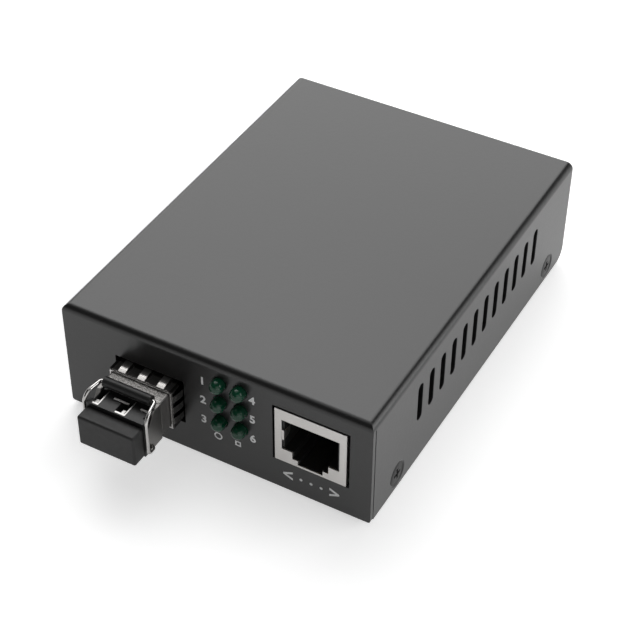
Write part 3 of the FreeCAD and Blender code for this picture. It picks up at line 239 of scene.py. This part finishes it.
# Bright sheet and wire: fine lines, stretched along one axis, over faint stains.
sheet = {"stains": 180, "dark": 0.82, "light": 1.12, "relief": 0.000008, "edge": 0.0001}


def sheetSteel(name, level, roughness, warmth=0.02, stretch=(1, 1, 12), streak=700, spread=0.12,
               paintedShadeSides=None):
    steel = Finish(name, {"Metallic": 1.0})
    lines = steel.noise(streak, 3, stretch)
    stains = steel.noise(sheet["stains"], 3)
    tone = lines * 0.6 + stains * 0.4
    colour = steel.shades(tone, level, sheet["dark"], sheet["light"], warmth)
    if paintedShadeSides:  # painted shade on the sides: a node, how far in its sides reach in millimetres, and their darker level
        node, depth, side = paintedShadeSides
        colour = steel.tint(steel.flanks(node, depth), colour, grey(side, warmth))
    steel.feed("Base Color", colour)
    steel.feed("Roughness", roughness - spread / 2 + lines * spread)
    steel.relief(lines, sheet["relief"], sheet["edge"])
    return steel.material


# The module's shell: spangled, with painted shade darkening its sides.
shell = {
    "node": "module_shell",
    "level": 0.56,
    "shadedSideLevel": 0.2,
    "sideDepth": 0.25,
    "warmth": 0.03,
    "flakes": 3400,
    "grains": 5200,
    "roughness": 0.36,
    "spread": 0.2,
    "relief": 0.00002,
    "edge": 0.0001,
}


def speckledSteel(name):
    steel = Finish(name, {"Metallic": 1.0})
    flakes = steel.cells(shell["flakes"])
    grains = steel.noise(shell["grains"], 3)
    spots = steel.ramp(flakes * 0.5 + grains * 0.6, 0.38, 0.66)
    top = steel.shades(spots, shell["level"], 0.4, 1.15, shell["warmth"])
    # painted shade: the same speckled steel at a darker level on the shell's sides
    sides = steel.shades(spots, shell["shadedSideLevel"], 0.85, 1.1, shell["warmth"])
    paintedShadeMask = steel.flanks(shell["node"], shell["sideDepth"])
    steel.feed("Base Color", steel.tint(paintedShadeMask, top, sides))
    steel.feed("Roughness", shell["roughness"] + spots * shell["spread"])
    steel.relief(spots, shell["relief"], shell["edge"])
    return steel.material


plating = {"marks": 1200, "stretch": (1, 6, 1), "dark": 0.75, "spread": 0.12, "relief": 0.000006}


def goldPlate(name, colour, roughness):
    plate = Finish(name, {"Metallic": 1.0})
    marks = plate.noise(plating["marks"], 3, plating["stretch"])
    darker = tuple(part * plating["dark"] for part in colour[:3]) + (1.0,)
    plate.feed("Base Color", plate.tint(marks, darker, colour))
    plate.feed("Roughness", roughness + marks * plating["spread"])
    plate.relief(marks, plating["relief"])
    return plate.material


lampDome = {
    "deep": (0.002, 0.03, 0.014, 1),
    "bright": (0.003, 0.068, 0.032, 1),
    "gloss": 0.3,
    "coat": 0.28,
    "coatRoughness": 0.1,
    "depths": 500,
    "facets": 350,
    "roughness": 0.1,
    "spread": 0.1,
    "relief": 0.000003,
}


def lampPlastic(name):
    lens = Finish(name, {"IOR": 1.45, "Specular IOR Level": lampDome["gloss"],
                         "Coat Weight": lampDome["coat"],
                         "Coat Roughness": lampDome["coatRoughness"]})
    depths = lens.noise(lampDome["depths"], 2)
    facets = lens.noise(lampDome["facets"], 1)
    lens.feed("Base Color", lens.tint(depths, lampDome["deep"], lampDome["bright"]))
    lens.feed("Roughness", lampDome["roughness"] + facets * lampDome["spread"])
    lens.relief(facets, lampDome["relief"])
    return lens.material


boardMask = {
    "bare": (0.02, 0.15, 0.05, 1),
    "overCopper": (0.008, 0.07, 0.03, 1),
    "tracks": 260,
    "stretch": (1, 2.2, 1),
    "weave": 1800,
    "roughness": 0.32,
    "spread": 0.1,
    "relief": 0.00003,
    "edge": 0.0001,
}


def solderMask(name):
    mask = Finish(name, {"IOR": 1.5, "Specular IOR Level": 0.5,
                         "Coat Weight": 0.4, "Coat Roughness": 0.15})
    tracks = mask.cells(boardMask["tracks"], boardMask["stretch"])
    weave = mask.noise(boardMask["weave"], 2)
    copper = mask.ramp(tracks, 0.28, 0.36)
    mask.feed("Base Color", mask.tint(copper, boardMask["bare"], boardMask["overCopper"]))
    mask.feed("Roughness", boardMask["roughness"] + weave * boardMask["spread"])
    mask.relief(copper * -0.8 + weave * 0.2, boardMask["relief"], boardMask["edge"])
    return mask.material


brushed = {"stretch": (1, 8, 1), "streak": 500, "spread": 0.06}  # the cage and its collar
drawn = {"stretch": (1, 1, 1), "streak": 900, "spread": 0.06}  # the bail's wire
finishes = {
    "cover_paint": powderCoat("coverPaint", 1.0),
    "tray_paint": powderCoat("trayPaint", 0.95),
    "screw_black": blackPlastic("blackedScrew", 0.012, 0.34, gloss=0.32),
    "foot_rubber": rubber("footRubber", 0.02),
    "brass": goldPlate("turnedBrass", (0.72, 0.52, 0.22, 1), 0.25),
    "screw_steel": sheetSteel("screwSteel", 0.55, 0.35),
    "board_green": solderMask("solderMask"),
    "shield_steel": sheetSteel("shieldSteel", 0.62, 0.36, 0.03),
    "black_plastic": blackPlastic("mouldedBlack", 0.012, 0.42),
    "gold_contact": goldPlate("goldContact", (0.83, 0.62, 0.24, 1), 0.2),
    "lamp_green": lampPlastic("lampGreen"),
    "tinned_wire": sheetSteel("tinnedWire", 0.6, 0.3),
    "cage_steel": sheetSteel("cageSteel", 0.55, 0.22, 0.02, **brushed),
    # painted shade: the collar's side fingers get a darker colour for the shade they stand in
    "collar_steel": sheetSteel("collarSteel", 0.5, 0.2, 0.03, **brushed,
                               paintedShadeSides=("cage_spring_collar", 1.2, 0.13)),
    "module_zinc": sheetSteel("castZinc", 0.26, 0.36, 0.03, (1, 1, 2), 1400),
    "shell_steel": speckledSteel("shellSteel"),
    "nose_plastic": blackPlastic("nosePlastic", 0.012, 0.35),
    "clip_steel": sheetSteel("clipSteel", 0.55, 0.38),
    "barrel_steel": sheetSteel("barrelSteel", 0.6, 0.3),
    "bail_chrome": sheetSteel("bailWire", 0.5, 0.18, 0.02, **drawn),
    "sleeve_plastic": blackPlastic("sleevePlastic", 0.014, 0.4),
    "plug_rubber": rubber("plugRubber", 0.013),
    "chip_black": blackPlastic("chipBlack", 0.02, 0.55),
    "can_steel": sheetSteel("canSteel", 0.6, 0.32),
}
print("finishes made:", len(finishes))


for part in frame["record"]["subparts"]:
    for place in frame["nodes"][part["node"]].material_slots:
        place.material = finishes[part["material_slot"]]
print("finishes given to the solids")


# What is printed on the panel, in millimetres from its middle and from the table.
panelPrint = {
    "shade": 0.88,
    "digitSize": 2.7,
    "boldness": 0.09,
    "inkThickness": 0.02,
    "leftEdge": -3.0,
    "rightEdge": 8.3,
    "rows": (21.0, 15.9, 10.6),
    "ringPlace": (0.9, 8.3),
    "ringCorners": 32,
    "squarePlace": (5.5, 8.4),
    "markRadius": 0.95,
    "markStroke": 0.32,
    "portMark": "< · · · >",
    "portMarkPlace": (22.1, 4.0),
    "portMarkSize": 4.2,
}


def printInk():
    ink = Finish("printInk", {"IOR": 1.45, "Specular IOR Level": 0.3})
    grain = ink.noise(1500, 3)
    ink.feed("Base Color", ink.shades(grain, panelPrint["shade"], 0.9, 1.1))
    ink.feed("Roughness", 0.45 + grain * 0.15)
    ink.relief(grain, 0.000004)
    return ink.material


def deselectAll():
    bpy.ops.object.select_all(action="DESELECT")


def selectOnly(*pieces):
    deselectAll()
    for piece in pieces:
        piece.select_set(True)
    bpy.context.view_layer.objects.active = pieces[0]


def flatten():  # puts the place, turn and size of the selected piece into its mesh
    bpy.ops.object.transform_apply(location=True, rotation=True, scale=True)


def printText(body, x, z, size, align):
    deselectAll()
    bpy.ops.object.text_add(rotation=(quarterTurn, 0, 0))
    words = bpy.context.object
    words.data.body = body
    words.data.size = size * millimetre
    words.data.align_x = align
    words.data.extrude = panelPrint["inkThickness"] / 2 * millimetre
    words.data.offset = panelPrint["boldness"] * millimetre
    words.data.resolution_u = 4
    words.location = onPanel(x, -panelPrint["inkThickness"] / 2, z)
    bpy.ops.object.convert(target="MESH")
    flatten()
    return bpy.context.object


def printRing(corners, turn, x, z):
    deselectAll()
    bpy.ops.mesh.primitive_circle_add(
        vertices=corners, radius=panelPrint["markRadius"] * millimetre, fill_type="NGON",
        location=onPanel(x, 0, z), rotation=(quarterTurn, math.radians(turn), 0))
    ring = bpy.context.object
    bpy.ops.object.mode_set(mode="EDIT")
    bpy.ops.mesh.inset(thickness=panelPrint["markStroke"] * millimetre)
    bpy.ops.mesh.delete(type="FACE")
    bpy.ops.mesh.select_all(action="SELECT")
    forward = -panelPrint["inkThickness"] * millimetre
    bpy.ops.mesh.extrude_region_move(TRANSFORM_OT_translate={"value": (0, forward, 0)})
    bpy.ops.mesh.select_all(action="SELECT")
    bpy.ops.mesh.normals_make_consistent(inside=False)
    bpy.ops.object.mode_set(mode="OBJECT")
    flatten()
    return ring


def joinAs(name, parts):
    selectOnly(*parts)
    bpy.ops.object.join()
    parts[0].name = name
    parts[0].data.name = name
    return parts[0]


def makePanelPrint():
    size = panelPrint["digitSize"]
    marks = []
    for row, z in enumerate(panelPrint["rows"]):
        marks.append(printText(str(row + 1), panelPrint["leftEdge"], z, size, "LEFT"))
        marks.append(printText(str(row + 4), panelPrint["rightEdge"], z, size, "LEFT"))
    marks.append(printRing(panelPrint["ringCorners"], 0, *panelPrint["ringPlace"]))
    marks.append(printRing(4, 45, *panelPrint["squarePlace"]))
    marks.append(printText(panelPrint["portMark"], *panelPrint["portMarkPlace"],
                           panelPrint["portMarkSize"], "CENTER"))
    ink = joinAs("panelPrint", marks)
    ink.data.materials.append(printInk())
    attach(ink, "chassis")


makePanelPrint()
print("panel print made")


def selectFaces(piece, wanted):  # selects the faces that the test picks, in edit mode
    bpy.ops.mesh.select_mode(type="FACE")
    bpy.ops.mesh.select_all(action="DESELECT")
    bpy.ops.object.mode_set(mode="OBJECT")
    for face in piece.data.polygons:
        face.select = wanted(face)
    bpy.ops.object.mode_set(mode="EDIT")


def selectCorners(piece, wanted):  # the same for corners
    bpy.ops.mesh.select_mode(type="VERT")
    bpy.ops.mesh.select_all(action="DESELECT")
    bpy.ops.object.mode_set(mode="OBJECT")
    for corner in piece.data.vertices:
        corner.select = wanted(corner)
    bpy.ops.object.mode_set(mode="EDIT")


def applyModifier(piece, kind, settings):
    modifier = piece.modifiers.new(kind.lower(), kind)
    for setting, value in settings.items():
        setattr(modifier, setting, value)
    selectOnly(piece)
    bpy.ops.object.modifier_apply(modifier=modifier.name)


def roundEdges(piece, width, sharpest):  # edges that turn more than this angle in degrees
    applyModifier(piece, "BEVEL", {"width": width, "segments": 2, "limit_method": "ANGLE",
                                   "angle_limit": math.radians(sharpest)})
    bpy.ops.object.shade_smooth_by_angle(angle=math.radians(40))


# The four side screws: raised cross-head tops in countersunk holes. Each step of the dome has a
# share of the head's radius and a share of the rise.
coverScrew = {
    "solidRadius": 3.0 * millimetre,
    "headRadius": 2.7 * millimetre,
    "headEdge": 0.45 * millimetre,
    "domeRise": 0.3 * millimetre,
    "domeSteps": ((0.12, 0.5), (0.25, 0.3), (0.3, 0.2)),
    "coneDepth": 0.85 * millimetre,
    "shankRadius": 1.45 * millimetre,
    "shankLength": 3.7 * millimetre,
    "crossReach": 3.3 * millimetre,
    "crossWidth": 0.75 * millimetre,
    "crossDepth": 0.75 * millimetre,
    "crossTaper": 0.6,
    "edgeRound": 0.07 * millimetre,
}


def crossCutter(length, width, depth, taper):
    deselectAll()
    bpy.ops.mesh.primitive_cube_add(size=1)
    cutter = bpy.context.object
    cutter.scale = (length, width, depth)
    flatten()
    bpy.ops.object.mode_set(mode="EDIT")
    selectFaces(cutter, lambda face: face.normal.z < -0.9)
    bpy.ops.transform.resize(value=(taper, taper, 1))
    bpy.ops.object.mode_set(mode="OBJECT")
    return cutter


def turnScrew(size):  # one screw along Z, its dome's top at the origin
    deselectAll()
    bpy.ops.mesh.primitive_cylinder_add(
        vertices=48, radius=size["headRadius"], depth=size["headEdge"],
        location=(0, 0, -size["domeRise"] - size["headEdge"] / 2))
    screw = bpy.context.object
    flatten()
    bpy.ops.object.mode_set(mode="EDIT")
    selectFaces(screw, lambda face: face.normal.z > 0.9)
    for inset, rise in size["domeSteps"]:
        bpy.ops.mesh.inset(thickness=size["headRadius"] * inset)
        bpy.ops.transform.translate(value=(0, 0, size["domeRise"] * rise))
    selectFaces(screw, lambda face: face.normal.z < -0.9)
    narrow = size["shankRadius"] / size["headRadius"]
    cone = -size["coneDepth"] + size["headEdge"]
    bpy.ops.mesh.extrude_region_move(TRANSFORM_OT_translate={"value": (0, 0, cone)})
    bpy.ops.transform.resize(value=(narrow, narrow, 1))
    shank = -size["shankLength"]
    bpy.ops.mesh.extrude_region_move(TRANSFORM_OT_translate={"value": (0, 0, shank)})
    bpy.ops.object.mode_set(mode="OBJECT")
    reach, width, depth = size["crossReach"], size["crossWidth"], size["crossDepth"] * 2
    cutters = [crossCutter(reach, width, depth, size["crossTaper"]),
               crossCutter(width, reach, depth, size["crossTaper"])]
    for cutter in cutters:
        applyModifier(screw, "BOOLEAN", {"operation": "DIFFERENCE", "solver": "EXACT",
                                         "object": cutter})
        bpy.data.objects.remove(cutter)
    roundEdges(screw, size["edgeRound"], 35)
    return screw


def makeCoverScrews():
    screw = turnScrew(coverScrew)
    low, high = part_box("cover_screws")
    inwards = coverScrew["solidRadius"]
    copies = []
    for side in (-1, 1):
        for y in (low.y + inwards, high.y - inwards):
            copy = screw.copy()
            copy.data = screw.data.copy()
            bpy.context.collection.objects.link(copy)
            copy.location = (side * high.x, y, (low.z + high.z) / 2)
            copy.rotation_euler = (0, side * quarterTurn, 0)
            selectOnly(copy)
            flatten()
            copies.append(copy)
    bpy.data.objects.remove(screw)
    screws = joinAs("coverScrews", copies)
    screws.data.materials.clear()
    screws.data.materials.append(finishes["screw_black"])
    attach(screws, "chassis")
    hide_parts("cover_screws")


makeCoverScrews()
print("cover screws made")


# The ground spring that is folded into the copper port's mouth. Its left side is measured from the
# port's middle, its low and high ends from the table, and its taper is a share of its height.
groundSpring = {
    "left": -6.45 * millimetre,
    "low": 14.9 * millimetre,
    "high": 17.5 * millimetre,
    "depth": 2.6 * millimetre,
    "gauge": 0.6 * millimetre,
    "bow": 0.1 * millimetre,
    "taper": 0.3,
    "cuts": 5,
    "edgeRound": 0.05 * millimetre,
}


def makeGroundSpring(size):
    portLow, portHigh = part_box("port_shield")
    height = (size["low"] + size["high"]) / 2
    deselectAll()
    bpy.ops.mesh.primitive_cube_add(size=1)
    spring = bpy.context.object
    spring.scale = (size["gauge"], size["depth"], size["high"] - size["low"])
    spring.location = ((portLow.x + portHigh.x) / 2 + size["left"] + size["gauge"] / 2,
                       portLow.y + size["depth"] / 2, height)
    flatten()
    bpy.ops.object.mode_set(mode="EDIT")
    bpy.ops.mesh.select_all(action="SELECT")
    bpy.ops.mesh.subdivide(number_cuts=size["cuts"])
    for ring in range(size["cuts"] + 2):  # bowed towards the plug, and narrower at its tip
        share = ring / (size["cuts"] + 1)
        y = portLow.y + size["depth"] * share
        selectCorners(spring, lambda corner: abs(corner.co.y - y) < size["edgeRound"])
        bpy.ops.transform.translate(value=(size["bow"] * math.sin(math.pi * share), 0, 0))
        bpy.ops.transform.resize(value=(1, 1, 1 - size["taper"] * share),
                                 center_override=(0, 0, height))
    bpy.ops.object.mode_set(mode="OBJECT")
    roundEdges(spring, size["edgeRound"], 50)
    spring.name = "groundSpring"
    spring.data.materials.append(finishes["shield_steel"])
    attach(spring, "chassis")


makeGroundSpring(groundSpring)
print("ground spring made")


# The floor and the backdrop, in metres. Their glow grows from the near to the far distance, so the
# floor around the object is darker with painted shade, and reflections see the mirrored share of
# it.
studioStage = {
    "floorSide": 8.0,
    "wallRadius": 3.9,
    "wallHeight": 1.0,
    "near": 0.4,
    "far": 1.6,
    "floorGlow": (0.56, 0.95),
    "wallGlow": (1.0, 1.0),
    "mirrored": 0.6,
}


def palePaper(name, glow):  # white to the eye and in metal, and still shadowed by the object
    paper = Finish(name, {"Roughness": 0.9, "Specular IOR Level": 0.1})
    weave = paper.noise(40, 3)
    paper.feed("Base Color", paper.tint(weave, grey(0.78), grey(0.82)))
    camera = paper.add("ShaderNodeLightPath", {}, {}, "Is Camera Ray")
    glossy = paper.add("ShaderNodeLightPath", {}, {}, "Is Glossy Ray")
    glass = paper.add("ShaderNodeLightPath", {}, {}, "Is Transmission Ray")
    reach = paper.add("ShaderNodeVectorMath", {"operation": "LENGTH"}, {0: paper.place}, "Value")
    away = paper.ramp(reach, studioStage["near"], studioStage["far"])
    nearGlow, farGlow = glow
    # painted shade: less glow near the object than far from it
    paper.feed("Emission Color", paper.tint(away, grey(nearGlow), grey(farGlow)))
    paper.feed("Emission Strength", camera + glossy * studioStage["mirrored"] + glass)
    return paper.material


def addStage():
    deselectAll()
    bpy.ops.mesh.primitive_plane_add(size=studioStage["floorSide"])
    floorPlane = bpy.context.object
    floorPlane.name = "floorPlane"
    floorPlane.data.materials.append(palePaper("floorPaper", studioStage["floorGlow"]))
    deselectAll()
    bpy.ops.mesh.primitive_cylinder_add(
        vertices=96, radius=studioStage["wallRadius"], depth=studioStage["wallHeight"],
        end_fill_type="NOTHING", location=(0, 0, studioStage["wallHeight"] / 2))
    wall = bpy.context.object
    wall.name = "backdrop"
    flatten()
    wall.data.materials.append(palePaper("backdropPaper", studioStage["wallGlow"]))


def addWorld(level):
    world = bpy.data.worlds.new("studio")
    bpy.context.scene.world = world
    world.use_nodes = True
    background = world.node_tree.nodes["Background"]
    background.inputs["Color"].default_value = grey(1.0)
    background.inputs["Strength"].default_value = level


worldLevel = 0.07
lamps = {
    "rearLamp": {"place": (-0.58, 1.04, 1.06), "size": 1.5, "power": 16.5},
    "topLamp": {"place": (-0.3, 0.2, 0.95), "size": 0.8, "power": 2.0},
    "sideLamp": {"place": (1.1, 0.45, 0.5), "size": 1.0, "power": 8.5},
    "frontLamp": {"place": (0.9, -0.9, 0.6), "size": 1.2, "power": 3.5},
}


def addLamp(name, setup):  # a square lamp that faces the object
    data = bpy.data.lights.new(name, "AREA")
    data.energy = setup["power"]
    data.size = setup["size"]
    lamp = bpy.data.objects.new(name, data)
    lamp.location = setup["place"]
    lamp.rotation_mode = "QUATERNION"
    lamp.rotation_quaternion = (-Vector(setup["place"])).to_track_quat("-Z", "Y")
    bpy.context.collection.objects.link(lamp)


addStage()
addWorld(worldLevel)
for name, setup in lamps.items():
    addLamp(name, setup)
bpy.context.scene.view_settings.view_transform = "Standard"
print("floor, world and lamps set")
